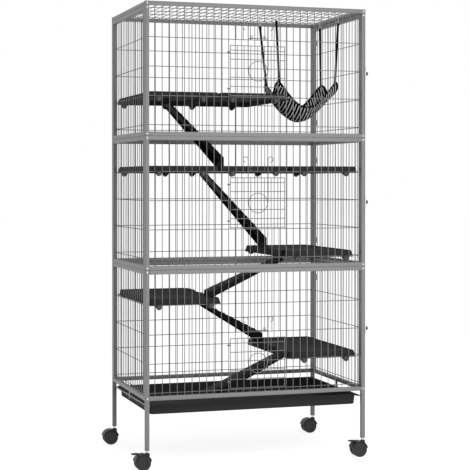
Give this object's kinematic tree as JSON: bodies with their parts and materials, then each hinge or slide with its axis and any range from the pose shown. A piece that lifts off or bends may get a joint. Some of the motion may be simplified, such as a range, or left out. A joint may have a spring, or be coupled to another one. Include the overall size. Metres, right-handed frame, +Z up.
{
  "type": "small animal cage",
  "caption": "Tall wheeled wire cage on tube frames with shelves joined by ramps, small front doors, latched side doors, a hanging hammock and a slide-out tray.",
  "frame": {"origin": "on the floor, under the middle of the tube frame", "axes": "+X to the right seen from the front, where the side doors are; +Y to the rear, so the front with the small doors faces -Y; +Z up"},
  "size_m": [0.8582, 0.5346, 1.58],
  "materials": {
    "frame_paint": "hammertone",
    "latch_steel": "satin",
    "shelf_plastic": "fine grain",
    "ramp_plastic": "fine grain",
    "tray_plastic": "satin",
    "knob_plastic": "satin",
    "hammock_fabric": "striped weave",
    "webbing": "flat webbing",
    "caster_plastic": "moulded",
    "wheel_rubber": "matte"
  },
  "bodies": {
    "cage": {"front_panel_lower": "frame_paint", "rear_panel_lower": "frame_paint", "left_panel_lower": "frame_paint", "front_panel_middle": "frame_paint", "rear_panel_middle": "frame_paint", "left_panel_middle": "frame_paint", "front_panel_upper": "frame_paint", "rear_panel_upper": "frame_paint", "left_panel_upper": "frame_paint", "side_door_hinges": "frame_paint", "top_mesh": "frame_paint", "shelf_upper_left": "shelf_plastic", "shelf_upper_centre": "shelf_plastic", "shelf_full_left": "shelf_plastic", "shelf_full_centre": "shelf_plastic", "shelf_full_right": "shelf_plastic", "shelf_middle_right": "shelf_plastic", "shelf_lower_left": "shelf_plastic", "shelf_lower_right": "shelf_plastic", "shelf_knobs": "knob_plastic", "ramp_upper": "ramp_plastic", "ramp_full": "ramp_plastic", "ramp_right": "ramp_plastic", "ramp_left": "ramp_plastic", "ramp_low": "ramp_plastic", "tray_runner_left": "latch_steel", "tray_runner_right": "latch_steel", "hammock_cloth": "hammock_fabric", "hammock_straps": "webbing", "hammock_hooks": "latch_steel", "leg_plugs": "knob_plastic", "frame_screws": "latch_steel"},
    "side_door_lower": {"side_door_lower": "frame_paint"},
    "side_latch_lower": {"side_latch_lower": "latch_steel", "side_latch_knob_lower": "knob_plastic"},
    "front_door_lower": {"front_door_lower": "frame_paint"},
    "front_latch_lower": {"front_latch_lower": "frame_paint"},
    "side_door_middle": {"side_door_middle": "frame_paint"},
    "side_latch_middle": {"side_latch_middle": "latch_steel", "side_latch_knob_middle": "knob_plastic"},
    "front_door_middle": {"front_door_middle": "frame_paint"},
    "front_latch_middle": {"front_latch_middle": "frame_paint"},
    "side_door_upper": {"side_door_upper": "frame_paint"},
    "side_latch_upper": {"side_latch_upper": "latch_steel", "side_latch_knob_upper": "knob_plastic"},
    "front_door_upper": {"front_door_upper": "frame_paint"},
    "front_latch_upper": {"front_latch_upper": "frame_paint"},
    "tray": {"tray": "tray_plastic"},
    "caster_front_left": {"caster_body_front_left": "caster_plastic"},
    "wheels_front_left": {"caster_wheels_front_left": "wheel_rubber"},
    "brake_front_left": {"caster_brake_front_left": "caster_plastic"},
    "caster_front_right": {"caster_body_front_right": "caster_plastic"},
    "wheels_front_right": {"caster_wheels_front_right": "wheel_rubber"},
    "brake_front_right": {"caster_brake_front_right": "caster_plastic"},
    "caster_rear_left": {"caster_body_rear_left": "caster_plastic"},
    "wheels_rear_left": {"caster_wheels_rear_left": "wheel_rubber"},
    "caster_rear_right": {"caster_body_rear_right": "caster_plastic"},
    "wheels_rear_right": {"caster_wheels_rear_right": "wheel_rubber"}
  },
  "joints": [
    {"name": "side_door_lower_swing", "type": "hinge", "parent": "cage", "child": "side_door_lower", "pos_m": [0.4043, 0.23925, 0.453], "axis": [0, 0, 1], "range_deg": [0, 110]},
    {"name": "side_latch_lower_turn", "type": "hinge", "parent": "cage", "child": "side_latch_lower", "pos_m": [0.4, -0.247, 0.453], "axis": [1, 0, 0], "range_deg": [0, 90]},
    {"name": "front_door_lower_swing", "type": "hinge", "parent": "cage", "child": "front_door_lower", "pos_m": [-0.10457, -0.2483, 0.3474], "axis": [0, 0, -1], "range_deg": [0, 110]},
    {"name": "front_latch_lower_lift", "type": "slide", "parent": "front_door_lower", "child": "front_latch_lower", "axis": [0, 0, 1], "range_m": [0, 0.03]},
    {"name": "side_door_middle_swing", "type": "hinge", "parent": "cage", "child": "side_door_middle", "pos_m": [0.4043, 0.23925, 0.9], "axis": [0, 0, 1], "range_deg": [0, 110]},
    {"name": "side_latch_middle_turn", "type": "hinge", "parent": "cage", "child": "side_latch_middle", "pos_m": [0.4, -0.247, 0.9], "axis": [1, 0, 0], "range_deg": [0, 90]},
    {"name": "front_door_middle_swing", "type": "hinge", "parent": "cage", "child": "front_door_middle", "pos_m": [-0.10457, -0.2483, 0.8995], "axis": [0, 0, -1], "range_deg": [0, 110]},
    {"name": "front_latch_middle_lift", "type": "slide", "parent": "front_door_middle", "child": "front_latch_middle", "axis": [0, 0, 1], "range_m": [0, 0.03]},
    {"name": "side_door_upper_swing", "type": "hinge", "parent": "cage", "child": "side_door_upper", "pos_m": [0.4043, 0.23925, 1.3535], "axis": [0, 0, 1], "range_deg": [0, 110]},
    {"name": "side_latch_upper_turn", "type": "hinge", "parent": "cage", "child": "side_latch_upper", "pos_m": [0.4, -0.247, 1.3535], "axis": [1, 0, 0], "range_deg": [0, 90]},
    {"name": "front_door_upper_swing", "type": "hinge", "parent": "cage", "child": "front_door_upper", "pos_m": [-0.10457, -0.2483, 1.353], "axis": [0, 0, -1], "range_deg": [0, 110]},
    {"name": "front_latch_upper_lift", "type": "slide", "parent": "front_door_upper", "child": "front_latch_upper", "axis": [0, 0, 1], "range_m": [0, 0.03]},
    {"name": "tray_slide", "type": "slide", "parent": "cage", "child": "tray", "axis": [0, -1, 0], "range_m": [0, 0.42]},
    {"name": "caster_front_left_swivel", "type": "hinge", "parent": "cage", "child": "caster_front_left", "pos_m": [-0.393, -0.247, 0.065], "axis": [0, 0, 1], "continuous": true},
    {"name": "wheels_front_left_spin", "type": "hinge", "parent": "caster_front_left", "child": "wheels_front_left", "pos_m": [-0.409, -0.247, 0.026], "axis": [0, 1, 0], "continuous": true},
    {"name": "brake_front_left_press", "type": "hinge", "parent": "caster_front_left", "child": "brake_front_left", "pos_m": [-0.424, -0.247, 0.05535], "axis": [0, -1, 0], "range_deg": [0, 16]},
    {"name": "caster_front_right_swivel", "type": "hinge", "parent": "cage", "child": "caster_front_right", "pos_m": [0.393, -0.247, 0.065], "axis": [0, 0, 1], "continuous": true},
    {"name": "wheels_front_right_spin", "type": "hinge", "parent": "caster_front_right", "child": "wheels_front_right", "pos_m": [0.377, -0.247, 0.026], "axis": [0, 1, 0], "continuous": true},
    {"name": "brake_front_right_press", "type": "hinge", "parent": "caster_front_right", "child": "brake_front_right", "pos_m": [0.362, -0.247, 0.05535], "axis": [0, -1, 0], "range_deg": [0, 16]},
    {"name": "caster_rear_left_swivel", "type": "hinge", "parent": "cage", "child": "caster_rear_left", "pos_m": [-0.393, 0.247, 0.065], "axis": [0, 0, 1], "continuous": true},
    {"name": "wheels_rear_left_spin", "type": "hinge", "parent": "caster_rear_left", "child": "wheels_rear_left", "pos_m": [-0.409, 0.247, 0.026], "axis": [0, 1, 0], "continuous": true},
    {"name": "caster_rear_right_swivel", "type": "hinge", "parent": "cage", "child": "caster_rear_right", "pos_m": [0.393, 0.247, 0.065], "axis": [0, 0, 1], "continuous": true},
    {"name": "wheels_rear_right_spin", "type": "hinge", "parent": "caster_rear_right", "child": "wheels_rear_right", "pos_m": [0.377, 0.247, 0.026], "axis": [0, 1, 0], "continuous": true}
  ]
}
